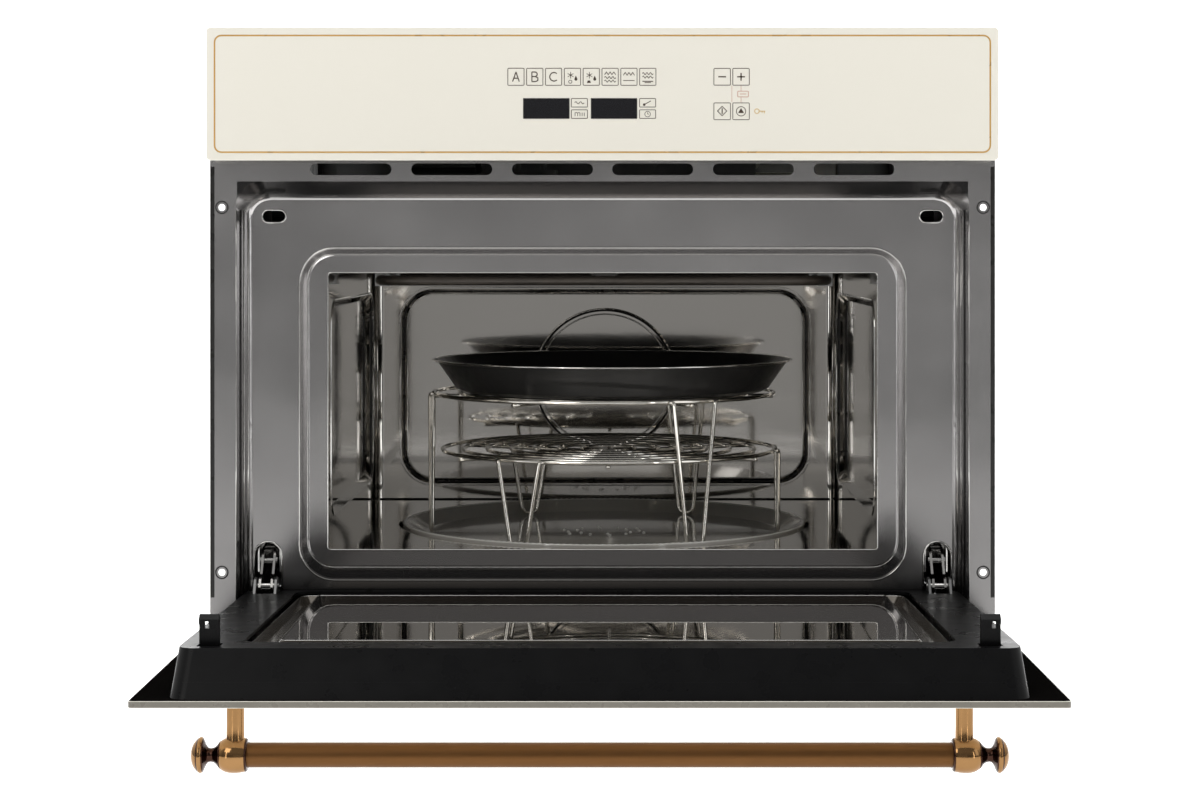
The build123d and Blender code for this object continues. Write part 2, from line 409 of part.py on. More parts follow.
# ---------------------------------------------------------------- handle
bar = cyl_x(8.0, -226.4, 226.4, BAR_Y, BAR_Z)
posts, fins = [], []
for s in (-1, 1):
    bar = bar - cyl_x(4.05, s * 219, s * 230, BAR_Y, BAR_Z)
    p = cyl_x(11.5, s * 226.5, s * 247, BAR_Y, BAR_Z)
    p = fil(p, [e for e in p.edges() if e.geom_type == GeomType.CIRCLE], 1.6)
    p = p + cyl_x(4, s * 220, s * 227, BAR_Y, BAR_Z) + cyl_x(5, s * 246.9, s * 251, BAR_Y, BAR_Z)
    p = p + cyl_y(6, s * POST_X, BAR_Y, PANEL_Y - 2.5, BAR_Z) + cyl_y(8.5, s * POST_X, PANEL_Y - 4.0, PANEL_Y, BAR_Z)
    posts.append(p - cyl_y(1.95, s * POST_X, -38, -20, BAR_Z))
    f = cyl_x(11.5, s * 251, s * 259.5, BAR_Y, BAR_Z)
    f = fil(f, [e for e in f.edges() if e.geom_type == GeomType.CIRCLE], 2.6)
    fins.append(f + cyl_x(6.5, s * 259.4, s * 262, BAR_Y, BAR_Z))
dout("handle_bar", bar)
dout("handle_posts", *posts)
dout("handle_finials", *fins)
dout("handle_screws", *[cyl_y(1.9, s * POST_X, -34, -14.4, BAR_Z) + cyl_y(4.2, s * POST_X, -14.4, -12.2, BAR_Z) for s in (-1, 1)])
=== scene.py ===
import bpy, bmesh, math
from mathutils import Vector, Matrix

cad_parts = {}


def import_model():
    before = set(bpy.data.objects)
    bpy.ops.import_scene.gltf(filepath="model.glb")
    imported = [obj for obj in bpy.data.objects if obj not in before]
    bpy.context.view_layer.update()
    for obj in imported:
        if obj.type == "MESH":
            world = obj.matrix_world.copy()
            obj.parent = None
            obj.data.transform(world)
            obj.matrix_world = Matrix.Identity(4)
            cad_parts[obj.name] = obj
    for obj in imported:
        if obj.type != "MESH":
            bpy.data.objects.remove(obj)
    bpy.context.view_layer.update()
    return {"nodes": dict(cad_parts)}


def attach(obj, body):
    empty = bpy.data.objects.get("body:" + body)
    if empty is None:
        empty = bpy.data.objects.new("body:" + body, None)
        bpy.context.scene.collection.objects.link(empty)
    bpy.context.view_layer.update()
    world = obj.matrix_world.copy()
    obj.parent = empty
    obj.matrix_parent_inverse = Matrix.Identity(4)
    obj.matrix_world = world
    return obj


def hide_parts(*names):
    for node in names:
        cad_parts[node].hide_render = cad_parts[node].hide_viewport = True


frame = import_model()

YB = 278.5


def P(x, y, z):
    """Working millimetres, as the part's own dimensions, to the row frame in metres."""
    return Vector((x / 1000, (y - YB) / 1000, z / 1000))


def D(x, y, z):
    """A point of the closed door, moved to where it is with the door open."""
    return P(x, 41 - z, y + 21)


# ------------------------------------------------------------------ materials
def mat(name, base, metallic=0.0, rough=0.4, var=0.06, scale=60.0, bump=0.0, stretch=(1, 1, 1), tint=None, coat=0.0, coat_rough=0.1,
        transmission=0.0, ior=1.5, spec=0.5, base2=None, mottling=4.0, alpha=1.0, aniso=0.0, emission=None, bump_scale=None):
    m = bpy.data.materials.new(name)
    m.use_nodes = True
    nt = m.node_tree
    b = nt.nodes["Principled BSDF"]
    b.inputs["Metallic"].default_value = metallic
    b.inputs["IOR"].default_value = ior
    b.inputs["Transmission Weight"].default_value = transmission
    b.inputs["Coat Weight"].default_value = coat
    b.inputs["Coat Roughness"].default_value = coat_rough
    b.inputs["Specular IOR Level"].default_value = spec
    b.inputs["Alpha"].default_value = alpha
    b.inputs["Anisotropic"].default_value = aniso
    tc = nt.nodes.new("ShaderNodeTexCoord")
    mp = nt.nodes.new("ShaderNodeMapping")
    mp.inputs["Scale"].default_value = stretch
    nt.links.new(tc.outputs["Object"], mp.inputs["Vector"])
    n = nt.nodes.new("ShaderNodeTexNoise")
    n.inputs["Scale"].default_value = scale
    n.inputs["Detail"].default_value = 6.0
    nt.links.new(mp.outputs["Vector"], n.inputs["Vector"])
    r = nt.nodes.new("ShaderNodeMapRange")
    r.inputs["From Min"].default_value = 0.3
    r.inputs["From Max"].default_value = 0.7
    r.inputs["To Min"].default_value = max(0.01, rough - var)
    r.inputs["To Max"].default_value = min(1.0, rough + var)
    nt.links.new(n.outputs["Fac"], r.inputs["Value"])
    nt.links.new(r.outputs["Result"], b.inputs["Roughness"])
    n2 = nt.nodes.new("ShaderNodeTexNoise")
    n2.inputs["Scale"].default_value = mottling
    n2.inputs["Detail"].default_value = 4.0
    nt.links.new(tc.outputs["Object"], n2.inputs["Vector"])
    mix = nt.nodes.new("ShaderNodeMix")
    mix.data_type = "RGBA"
    c2 = base2 or tuple(c * 0.93 for c in base)
    mix.inputs[6].default_value = (*base, 1)
    mix.inputs[7].default_value = (*c2, 1)
    nt.links.new(n2.outputs["Fac"], mix.inputs[0])
    nt.links.new(mix.outputs[2], b.inputs["Base Color"])
    if bump:
        bn = nt.nodes.new("ShaderNodeBump")
        bn.inputs["Strength"].default_value = bump
        bn.inputs["Distance"].default_value = 0.0004
        src = n
        if bump_scale:
            src = nt.nodes.new("ShaderNodeTexNoise")
            src.inputs["Scale"].default_value = bump_scale
            src.inputs["Detail"].default_value = 3.0
            nt.links.new(mp.outputs["Vector"], src.inputs["Vector"])
        nt.links.new(src.outputs["Fac"], bn.inputs["Height"])
        nt.links.new(bn.outputs["Normal"], b.inputs["Normal"])
    if emission:
        b.inputs["Emission Color"].default_value = (*emission[0], 1)
        b.inputs["Emission Strength"].default_value = emission[1]
    return m


M = {
    "cream": mat("cream_glass_print", (0.875, 0.845, 0.757), rough=0.10, var=0.03, scale=25, coat=0.6, coat_rough=0.04, base2=(0.865, 0.835, 0.745), mottling=2),
    "glass_edge": mat("ground_glass_edge", (0.185, 0.172, 0.142), rough=0.32, var=0.12, scale=120, base2=(0.15, 0.14, 0.115), mottling=30, coat=0.2),
    "gold": mat("printed_gold", (0.74, 0.45, 0.13), metallic=0.4, rough=0.32, var=0.08, scale=90, base2=(0.64, 0.37, 0.10), mottling=40),
    "legend": mat("legend_brown", (0.045, 0.030, 0.020), rough=0.4, var=0.06, scale=80, base2=(0.07, 0.045, 0.03), mottling=60),
    "pinkish": mat("legend_rose", (0.60, 0.32, 0.24), rough=0.4, var=0.05, scale=80),
    "yellowish": mat("legend_amber", (0.66, 0.45, 0.15), rough=0.4, var=0.05, scale=80),
    "display": mat("display_black", (0.006, 0.006, 0.008), rough=0.06, var=0.03, scale=30, coat=1.0, coat_rough=0.03),
    # this steel's base colour gets painted shade bands further down
    "face": mat("satin_enamelled_steel_painted_shade", (0.56, 0.548, 0.545), metallic=0.9, rough=0.17, var=0.04, scale=9, bump=0.008, bump_scale=900, base2=(0.52, 0.508, 0.505), mottling=3),
    "stainless": mat("cavity_stainless", (0.74, 0.715, 0.68), metallic=1.0, rough=0.06, var=0.02, scale=14, bump=0.015, bump_scale=40, stretch=(1, 1, 4), base2=(0.66, 0.64, 0.605), mottling=6),
    "zinc": mat("zinc_plate", (0.30, 0.302, 0.30), metallic=1.0, rough=0.40, var=0.06, scale=40, bump=0.04, base2=(0.245, 0.247, 0.246), mottling=18),
    "black_plastic": mat("black_moulding", (0.0035, 0.0035, 0.0038), spec=0.12, rough=0.30, var=0.05, scale=55, bump=0.03, bump_scale=1400, base2=(0.0042, 0.0042, 0.0045)),
    "black_metal": mat("satin_black_steel", (0.050, 0.043, 0.035), metallic=0.55, rough=0.17, var=0.04, scale=18, bump=0.03, bump_scale=500, base2=(0.065, 0.055, 0.043), mottling=5, spec=0.6),
    "chrome": mat("bright_chrome", (0.66, 0.655, 0.64), metallic=1.0, rough=0.10, var=0.05, scale=60, base2=(0.55, 0.54, 0.52), mottling=25),
    "wire": mat("plated_wire", (0.86, 0.84, 0.79), metallic=1.0, rough=0.09, var=0.03, scale=80, base2=(0.66, 0.63, 0.57), mottling=45),
    "clear": mat("tray_glass", (0.80, 0.775, 0.72), rough=0.10, var=0.04, scale=20, transmission=0.55, ior=1.46, base2=(0.74, 0.715, 0.66), mottling=9, coat=0.5, coat_rough=0.03),
    "dark_glass": mat("door_inner_mirror_glass", (0.62, 0.585, 0.55), metallic=1.0, rough=0.013, var=0.003, scale=8, base2=(0.59, 0.555, 0.52), mottling=3),
    "bronze": mat("bronze_bar", (0.142, 0.064, 0.019), metallic=0.85, rough=0.42, var=0.05, scale=90, bump=0.03, base2=(0.124, 0.056, 0.017), mottling=5),
    "brass": mat("antique_brass", (0.36, 0.205, 0.088), metallic=1.0, rough=0.12, var=0.03, scale=70, bump=0.02, base2=(0.24, 0.13, 0.052), mottling=14),
    "heater": mat("heater_sheath", (0.055, 0.050, 0.047), metallic=0.6, rough=0.42, var=0.10, scale=120, bump=0.15, base2=(0.10, 0.085, 0.07), mottling=25),
    "mica": mat("mica_sheet", (0.42, 0.38, 0.31), rough=0.45, var=0.12, scale=140, bump=0.08, base2=(0.33, 0.29, 0.23), mottling=35),
    "pan": mat("pan_non_stick", (0.012, 0.012, 0.012), rough=0.36, var=0.08, scale=160, bump=0.12, base2=(0.02, 0.019, 0.018), mottling=12, spec=0.6),
    "board": mat("solder_mask", (0.02, 0.10, 0.035), rough=0.35, var=0.08, scale=200, bump=0.05, base2=(0.03, 0.14, 0.05), mottling=90),
    "white": mat("natural_moulding", (0.66, 0.65, 0.61), rough=0.45, var=0.07, scale=70, bump=0.04, base2=(0.60, 0.59, 0.55)),
    "iron": mat("varnished_core", (0.16, 0.09, 0.05), metallic=0.4, rough=0.45, var=0.10, scale=300, stretch=(1, 1, 12), bump=0.12, base2=(0.11, 0.06, 0.035), mottling=30),
    "rubber": mat("black_rubber", (0.018, 0.018, 0.018), rough=0.6, var=0.08, scale=120, bump=0.08),
    "mesh": mat("mesh_sheet", (0.02, 0.02, 0.02), metallic=0.6, rough=0.4, var=0.1, scale=1200, bump=0.3),
    "print_black": mat("back_print_black", (0.0035, 0.0032, 0.003), rough=0.6, var=0.05, scale=60, spec=0.0, ior=1.0),
    "dark_line": mat("joint_shadow", (0.02, 0.019, 0.018), metallic=0.4, rough=0.3, var=0.06, scale=90),
    # dark brass for the handle's necks and collars: patina in the hollows, and painted dark reflection there
    "patina_and_reflection": mat("brass_patina_and_painted_reflection", (0.055, 0.027, 0.018), metallic=1.0, rough=0.16, var=0.04, scale=90, base2=(0.035, 0.018, 0.014), mottling=30),
    "bead_glass": mat("pressed_glass_bead", (0.80, 0.785, 0.74), rough=0.05, var=0.02, scale=40, transmission=0.35, ior=1.5, coat=0.8),
    "seal": mat("dark_gap", (0.006, 0.006, 0.006), rough=0.6, var=0.05, scale=80),
}

# painted shade: the face paint is darkened under the control panel, in front of the door's hinge and towards the
# bottom
def painted_shade_band(m, lo, hi, keep, half=0.2775, stop=1.0):
    """Paints shade into the base colour between two heights (metres), inside the width of the recess."""
    nt = m.node_tree
    b = nt.nodes["Principled BSDF"]
    src = b.inputs["Base Color"].links[0].from_socket
    tc = nt.nodes.new("ShaderNodeTexCoord")
    sp = nt.nodes.new("ShaderNodeSeparateXYZ")
    nt.links.new(tc.outputs["Object"], sp.inputs[0])
    z = nt.nodes.new("ShaderNodeMapRange")
    z.inputs["From Min"].default_value, z.inputs["From Max"].default_value = lo, hi
    z.inputs["To Min"].default_value, z.inputs["To Max"].default_value = 0.0, 1.0
    nt.links.new(sp.outputs["Z"], z.inputs["Value"])
    ab = nt.nodes.new("ShaderNodeMath")
    ab.operation = "ABSOLUTE"
    nt.links.new(sp.outputs["X"], ab.inputs[0])
    lt = nt.nodes.new("ShaderNodeMath")
    lt.operation = "LESS_THAN"
    lt.inputs[1].default_value = half
    nt.links.new(ab.outputs[0], lt.inputs[0])
    below = nt.nodes.new("ShaderNodeMath")
    below.operation = "LESS_THAN"
    below.inputs[1].default_value = stop
    nt.links.new(sp.outputs["Z"], below.inputs[0])
    both = nt.nodes.new("ShaderNodeMath")
    both.operation = "MULTIPLY"
    nt.links.new(lt.outputs[0], both.inputs[0])
    nt.links.new(below.outputs[0], both.inputs[1])
    mul = nt.nodes.new("ShaderNodeMath")
    mul.operation = "MULTIPLY"
    nt.links.new(z.outputs["Result"], mul.inputs[0])
    nt.links.new(both.outputs[0], mul.inputs[1])
    mix = nt.nodes.new("ShaderNodeMix")
    mix.data_type = "RGBA"
    mix.blend_type = "MULTIPLY"
    mix.inputs[7].default_value = (keep, keep, keep, 1)
    nt.links.new(mul.outputs[0], mix.inputs[0])
    nt.links.new(src, mix.inputs[6])
    nt.links.new(mix.outputs[2], b.inputs["Base Color"])


# painted shade: a dark band under the control panel, dark at the bottom in front of the hinge, and darker towards the
# bottom over the whole face
painted_shade_band(M["face"], 0.325, 0.331, 0.12, stop=0.3398)
painted_shade_band(M["face"], 0.040, 0.028, 0.25)
painted_shade_band(M["face"], 0.24, 0.06, 0.50, half=0.5)

USE = {
    "front_frame": "face", "cavity_wrap": "stainless", "cavity_floor": "stainless", "cavity_rear_wall": "stainless",
    "side_panel_left": "zinc", "side_panel_right": "zinc", "top_cover": "zinc", "base_plate": "zinc", "rear_cover": "zinc",
    "control_panel_glass": "cream", "control_panel_carrier": "black_plastic", "display_windows": "display", "control_board": "board",
    "touch_sensor_springs": "chrome", "air_duct": "white", "magnetron": "zinc", "waveguide": "zinc", "waveguide_cover": "mica",
    "hv_transformer": "iron", "hv_capacitor": "zinc", "fan_housing": "white", "fan_motor": "zinc", "fan_impeller": "white",
    "turntable_motor": "zinc", "turntable_coupler": "white", "glass_tray": "clear", "roller_ring": "white",
    "roller_1": "white", "roller_2": "white", "roller_3": "white", "low_rack": "wire", "high_rack": "wire", "crisp_pan": "pan",
    "grill_element": "heater", "grill_brackets": "zinc", "cavity_lamp": "white", "interlock_switches": "black_plastic", "latch_brackets": "zinc",
    "noise_filter": "board", "terminal_block": "white", "cable_gland": "rubber", "wiring_harness": "rubber",
    "hinge_arm_left": "chrome", "hinge_arm_right": "chrome", "casing_screws": "zinc", "panel_screws": "zinc",
    "door_outer_glass": "cream", "door_inner_frame": "black_plastic", "door_choke_frame": "black_metal", "door_mesh_screen": "mesh",
    "door_inner_glass": "dark_glass", "hinge_channels": "zinc", "hinge_pins": "chrome", "door_hook_left": "black_plastic", "door_hook_right": "black_plastic",
    "hook_pivots": "zinc", "handle_bar": "bronze", "handle_posts": "brass", "handle_finials": "brass", "handle_screws": "zinc",
}
for node, key in USE.items():
    o = frame["nodes"][node]
    o.data.materials.clear()
    o.data.materials.append(M[key])


# ------------------------------------------------------------------ mesh helpers
def obj(name, verts, faces, material, body, smooth=False):
    me = bpy.data.meshes.new(name)
    me.from_pydata([tuple(v) for v in verts], [], faces)
    me.validate()
    bm = bmesh.new()
    bm.from_mesh(me)
    bmesh.ops.recalc_face_normals(bm, faces=bm.faces)
    bm.to_mesh(me)
    bm.free()
    for p in me.polygons:
        p.use_smooth = smooth
    me.materials.append(material)
    o = bpy.data.objects.new(name, me)
    bpy.context.scene.collection.objects.link(o)
    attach(o, body)
    return o


def sweep_tube(name, pts, r, material, body, closed=False, n=12, cap=True, add=None):
    """Round bar through the points (row frame, metres); r in mm or a list of mm."""
    verts, faces = [], []
    pts = [Vector(p) for p in pts]
    count = len(pts)
    rs = r if isinstance(r, (list, tuple)) else [r] * count
    up = None
    for i, p in enumerate(pts):
        a = pts[(i - 1) % count] if closed or i else pts[0]
        b = pts[(i + 1) % count] if closed or i < count - 1 else pts[-1]
        t = (b - a).normalized()
        if up is None:
            ref = Vector((0, 0, 1)) if abs(t.z) < 0.9 else Vector((1, 0, 0))
            up = (ref - t * ref.dot(t)).normalized()
        else:
            up = (up - t * up.dot(t)).normalized()
        side = t.cross(up)
        for k in range(n):
            w = 2 * math.pi * k / n
            verts.append(p + (up * math.cos(w) + side * math.sin(w)) * rs[i] / 1000)
    last = count if closed else count - 1
    for i in range(last):
        j = (i + 1) % count
        for k in range(n):
            faces.append((i * n + k, i * n + (k + 1) % n, j * n + (k + 1) % n, j * n + k))
    if not closed and cap:
        faces.append(tuple(range(n))[::-1])
        faces.append(tuple((count - 1) * n + k for k in range(n)))
    if add is not None:
        base = len(add[0])
        add[0].extend(verts)
        add[1].extend([tuple(base + i for i in f) for f in faces])
        return None
    return obj(name, verts, faces, material, body, smooth=True)


def lathe(name, prof, centre, axis, material, body, n=48, add=None):
    """Turned piece: prof is [(along, radius)] in mm from centre along axis."""
    axis = Vector(axis).normalized()
    ref = Vector((0, 0, 1)) if abs(axis.z) < 0.9 else Vector((1, 0, 0))
    u = (ref - axis * ref.dot(axis)).normalized()
    v = axis.cross(u)
    verts, faces = [], []
    for t, r in prof:
        for k in range(n):
            w = 2 * math.pi * k / n
            verts.append(Vector(centre) + axis * t / 1000 + (u * math.cos(w) + v * math.sin(w)) * max(r, 0.001) / 1000)
    for i in range(len(prof) - 1):
        for k in range(n):
            faces.append((i * n + k, i * n + (k + 1) % n, (i + 1) * n + (k + 1) % n, (i + 1) * n + k))
    faces.append(tuple(range(n))[::-1])
    faces.append(tuple((len(prof) - 1) * n + k for k in range(n)))
    if add is not None:
        base = len(add[0])
        add[0].extend(verts)
        add[1].extend([tuple(base + i for i in f) for f in faces])
        return None
    return obj(name, verts, faces, material, body, smooth=True)


def autosmooth(o, deg=32):
    """Smooth shading with sharp edges kept where the surface turns more than deg."""
    me = o.data
    bm = bmesh.new()
    bm.from_mesh(me)
    lim = math.radians(deg)
    for e in bm.edges:
        e.smooth = not (len(e.link_faces) == 2 and e.calc_face_angle(0) > lim) and len(e.link_faces) == 2
    for f in bm.faces:
        f.smooth = True
    bm.to_mesh(me)
    bm.free()
    return o


class Flat:
    """Flat print on a surface: shapes as thin prisms, gathered into one mesh. put(x, z) gives the row-frame point."""

    def __init__(self, name, material, body, put, thick=0.12):
        self.name, self.m, self.body, self.put, self.t = name, material, body, put, thick
        self.v, self.f = [], []

    def poly(self, pts):
        n = len(pts)
        b = len(self.v)
        self.v += [self.put(x, z, 0.02) for x, z in pts] + [self.put(x, z, 0.02 + self.t) for x, z in pts]
        self.f += [tuple(b + n + i for i in range(n)), tuple(b + i for i in range(n))[::-1]]
        self.f += [(b + i, b + (i + 1) % n, b + n + (i + 1) % n, b + n + i) for i in range(n)]

    def line(self, a, c, w):
        (x0, z0), (x1, z1) = a, c
        L = math.hypot(x1 - x0, z1 - z0) or 1
        nx, nz = -(z1 - z0) / L * w / 2, (x1 - x0) / L * w / 2
        self.poly([(x0 + nx, z0 + nz), (x1 + nx, z1 + nz), (x1 - nx, z1 - nz), (x0 - nx, z0 - nz)])

    def path(self, pts, w, closed=False):
        """Mitred band along pts."""
        n = len(pts)
        outer, inner = [], []
        for i, (x, z) in enumerate(pts):
            a = pts[(i - 1) % n] if closed or i else (2 * x - pts[1][0], 2 * z - pts[1][1])
            c = pts[(i + 1) % n] if closed or i < n - 1 else (2 * x - pts[-2][0], 2 * z - pts[-2][1])
            d1 = Vector((x - a[0], z - a[1])).normalized()
            d2 = Vector((c[0] - x, c[1] - z)).normalized()
            t = (d1 + d2).normalized() if (d1 + d2).length > 1e-6 else d1
            k = w / 2 / max(0.35, t.dot(d1))
            outer.append((x - t.y * k, z + t.x * k))
            inner.append((x + t.y * k, z - t.x * k))
        for i in range(n if closed else n - 1):
            j = (i + 1) % n
            self.poly([outer[i], outer[j], inner[j], inner[i]])

    def circle(self, x, z, r, w, n=28, a0=0, a1=360):
        steps = max(3, int(n * abs(a1 - a0) / 360))
        full = abs(a1 - a0) >= 360
        pts = [(x + r * math.cos(math.radians(a0 + (a1 - a0) * i / steps)), z + r * math.sin(math.radians(a0 + (a1 - a0) * i / steps))) for i in range(steps if full else steps + 1)]
        self.path(pts, w, closed=full)

    def disc(self, x, z, r, n=20):
        self.poly([(x + r * math.cos(2 * math.pi * i / n), z + r * math.sin(2 * math.pi * i / n)) for i in range(n)])

    def rrect(self, x0, x1, z0, z1, r, w, n=6):
        pts = []
        for cx, cz, a in ((x1 - r, z1 - r, 0), (x0 + r, z1 - r, 90), (x0 + r, z0 + r, 180), (x1 - r, z0 + r, 270)):
            for i in range(n + 1):
                t = math.radians(a + 90 * i / n)
                pts.append((cx + r * math.cos(t), cz + r * math.sin(t)))
        self.path(pts, w, closed=True)

    def done(self):
        return obj(self.name, self.v, self.f, self.m, self.body)


# ------------------------------------------------------------------ control panel print
PF = -21.0
panel = lambda x, z, d: P(x, PF - d, z)
g = Flat("panel_gold_line", M["gold"], "oven", panel)
g.rrect(-291.2, 291.2, 361.2, 448.8, 5.2, 1.15)
g.done()

k = Flat("key_outlines", M["legend"], "oven", panel)
W = 0.50
KX = [-64.9 + 14.14 * i for i in range(8)]
KZ = 417.8
for x in KX:
    k.rrect(x - 6.1, x + 6.1, KZ - 6.4, KZ + 6.4, 0.7, W)
for x0 in (-23.3, 27.9):
    for zc in (398.3, 389.8):
        k.rrect(x0, x0 + 12.1, zc - 3.2, zc + 3.2, 0.6, W)
for x in (89.9, 104.1):
    for z in (417.8, 391.9):
        k.rrect(x - 6.2, x + 6.2, z - 6.3, z + 6.3, 0.7, W)
# letters A, B, C
def let(x, z, s, strokes):
    for a, b in zip(strokes[:-1], strokes[1:]):
        if a is None or b is None:
            continue
        k.line((x + a[0] * s, z + a[1] * s), (x + b[0] * s, z + b[1] * s), 0.78)
let(KX[0], KZ, 3.6, [(-0.7, -1), (0, 1), (0.7, -1), None, (-0.45, -0.3), (0.45, -0.3)])
let(KX[1], KZ, 3.6, [(-0.6, -1), (-0.6, 1), (0.15, 1), (0.5, 0.75), (0.5, 0.3), (0.15, 0.05), (-0.6, 0.05), None, (0.15, 0.05), (0.65, -0.2), (0.65, -0.75), (0.2, -1), (-0.6, -1)])
k.circle(KX[2] + 0.3, KZ, 3.2, 0.78, a0=48, a1=312)
# thaw keys: drop and flake
for i in (3, 4):
    x = KX[i]
    for a in (90, 30, 150):
        c, s = math.cos(math.radians(a)), math.sin(math.radians(a))
        k.line((x - 1.4 - 2.5 * c, KZ + 1.2 - 2.5 * s), (x - 1.4 + 2.5 * c, KZ + 1.2 + 2.5 * s), 0.42)
    k.disc(x + 2.6, KZ - 1.8, 1.1)
    k.poly([(x + 1.75, KZ - 1.2), (x + 3.45, KZ - 1.2), (x + 2.6, KZ + 1.0)])
    if i == 3:
        k.circle(x - 1.6, KZ - 3.7, 1.2, 0.4)
    else:
        k.poly([(x - 3.2, KZ - 4.6), (x - 0.4, KZ - 4.6), (x - 0.9, KZ - 2.8), (x - 2.7, KZ - 2.8)])
def wave(x, z, w, amp, n=3, lw=0.5):
    pts = [(x - w / 2 + w * i / 24, z + amp * math.sin(2 * math.pi * n * i / 24)) for i in range(25)]
    k.path(pts, lw)
def zig(x, z, w, h, n, lw=0.5):
    pts = [(x - w / 2 + w * i / (2 * n), z + (h if i % 2 else -h)) for i in range(2 * n + 1)]
    k.path(pts, lw)
zig(KX[5], KZ + 2.6, 8.4, 1.0, 3)
wave(KX[5], KZ - 0.6, 8.4, 0.8)
wave(KX[5], KZ - 3.2, 8.4, 0.8)
zig(KX[6], KZ + 2.2, 8.4, 1.1, 3)
k.line((KX[6] - 4.2, KZ - 2.8), (KX[6] + 4.2, KZ - 2.8), 0.5)
wave(KX[7], KZ + 2.4, 8.0, 0.8)
wave(KX[7], KZ - 0.2, 8.0, 0.8)
k.line((KX[7] - 4.0, KZ - 3.4), (KX[7] + 4.0, KZ - 3.4), 0.7)
k.line((KX[7] - 2.4, KZ - 4.4), (KX[7] + 2.4, KZ - 4.4), 0.5)
# small keys
wave(-17.25, 398.3, 7.0, 0.8, n=2)
k.line((-20.5, 388.3), (-20.5, 391.0), 0.45)
k.path([(-20.5, 390.6), (-19.4, 391.1), (-18.6, 390.5), (-18.6, 388.3)], 0.45)
k.path([(-18.6, 390.5), (-17.6, 391.1), (-16.8, 390.5), (-16.8, 388.3)], 0.45)
k.line((-15.2, 388.3), (-15.2, 390.9), 0.45)
k.path([(-13.6, 388.3), (-13.6, 390.9)], 0.45)
k.line((32.0, 397.3), (36.4, 399.7), 0.6)
k.disc(31.4, 396.9, 1.0)
k.circle(33.95, 389.8, 2.1, 0.42)
k.line((33.95, 389.8), (33.95, 391.2), 0.4)
k.line((33.95, 389.8), (35.0, 389.8), 0.4)
# minus, plus, start, stop
k.line((87.0, KZ), (92.8, KZ), 0.9)
k.line((101.2, KZ), (107.0, KZ), 0.9)
k.line((104.1, KZ - 2.9), (104.1, KZ + 2.9), 0.9)
k.path([(89.9, 395.6), (93.4, 392.1), (89.9, 388.6), (86.4, 392.1)], 0.55, closed=True)
k.line((89.9, 390.0), (89.9, 394.2), 0.8)
k.circle(104.1, 391.9, 3.5, 0.5)
k.poly([(101.9, 390.6), (106.3, 390.6), (104.1, 394.3)])
k.done()
t = Flat("link_lines", M["pinkish"], "oven", panel)
t.line((97.2, 398.9), (97.2, 411.0), 0.3)
t.rrect(101.6, 109.6, 402.7, 407.0, 0.6, 0.45)
t.line((103.2, 404.9), (108.0, 404.9), 0.45)
t.line((104.1, 407.2), (104.1, 411.2), 0.3)
t.line((104.1, 398.6), (104.1, 402.4), 0.3)
t.done()
t = Flat("key_lock_symbol", M["yellowish"], "oven", panel)
t.circle(116.0, 392.0, 1.7, 0.55)
t.line((117.7, 392.0), (122.2, 392.0), 0.6)
t.line((121.6, 392.0), (121.6, 390.4), 0.55)
t.line((119.9, 392.0), (119.9, 390.7), 0.55)
t.done()
d = Flat("display_bezels", M["seal"], "oven", panel)
for a, b in ((-59.2, -25.0), (-8.3, 25.8)):
    d.rrect(a - 0.2, b + 0.2, 386.4, 401.6, 0.4, 0.35)
d.done()

# ------------------------------------------------------------------ door's outer face (seen only from below or closed)
DF = -21.0
doorp = lambda x, z, dd: D(x, DF - dd, z)
g = Flat("door_gold_line", M["gold"], "door", doorp)
g.rrect(-291.2, 291.2, 8.2, 344.8, 5.2, 1.15)
g.rrect(-196.0, 196.0, 66.0, 262.0, 22.0, 1.15, n=10)
g.done()
w = Flat("door_window", M["display"], "door", doorp, thick=0.08)
pts = []
for cx, cz, a in ((172, 238, 0), (-172, 238, 90), (-172, 90, 180), (172, 90, 270)):
    for i in range(9):
        q = math.radians(a + 90 * i / 8)
        pts.append((cx + 20 * math.cos(q), cz + 20 * math.sin(q)))
w.poly(pts)
w.done()

# light caught by the edges of the door's inner plinth
def plinth(name, hx, z0, z1, r, y, rad, key):
    pts = []
    for cx, cz, a in ((hx - r, z1 - r, 0), (-hx + r, z1 - r, 90), (-hx + r, z0 + r, 180), (hx - r, z0 + r, 270)):
        for i in range(7):
            q = math.radians(a + 90 * i / 6)
            pts.append((cx + r * math.cos(q), cz + r * math.sin(q)))
    sweep_tube(name, [D(x, y(z), z) for x, z in pts], rad, M[key], "door", closed=True, n=8)


plinth("door_plinth_edge", 211.0, 79.2, 279.8, 3.5, lambda z: 9.9, 0.28, "chrome")
plinth("door_recess_edge", 229.2, 36.8, 297.2, 8, lambda z: 9.95 - (328 - z) * 0.0227, 0.35, "chrome")

# ------------------------------------------------------------------ the ground edge and black back print of the door glass
def ring_strip(name, hx, z0, z1, r, y0, y1, material, off=0.03):
    pts = []
    for cx, cz, a in ((hx - r, z1 - r, 0), (-hx + r, z1 - r, 90), (-hx + r, z0 + r, 180), (hx - r, z0 + r, 270)):
        for i in range(7):
            q = math.radians(a + 90 * i / 6)
            pts.append((cx + (r + off) * math.cos(q), cz + (r + off) * math.sin(q)))
    n = len(pts)
    verts = [D(x, y0, z) for x, z in pts] + [D(x, y1, z) for x, z in pts]
    inner = [(x * 0.9995, (z - 176) * 0.9995 + 176) for x, z in pts]
    verts += [D(x, y0, z) for x, z in inner] + [D(x, y1, z) for x, z in inner]
    faces = []
    for i in range(n):
        j = (i + 1) % n
        faces += [(i, j, n + j, n + i), (2 * n + i, 3 * n + i, 3 * n + j, 2 * n + j), (i, 2 * n + i, 2 * n + j, j), (n + i, n + j, 3 * n + j, 3 * n + i)]
    return autosmooth(obj(name, verts, faces, material, "door"))

ring_strip("door_glass_ground_edge", 297.5, 2, 351, 3, -20.7, -16.9, M["glass_edge"])
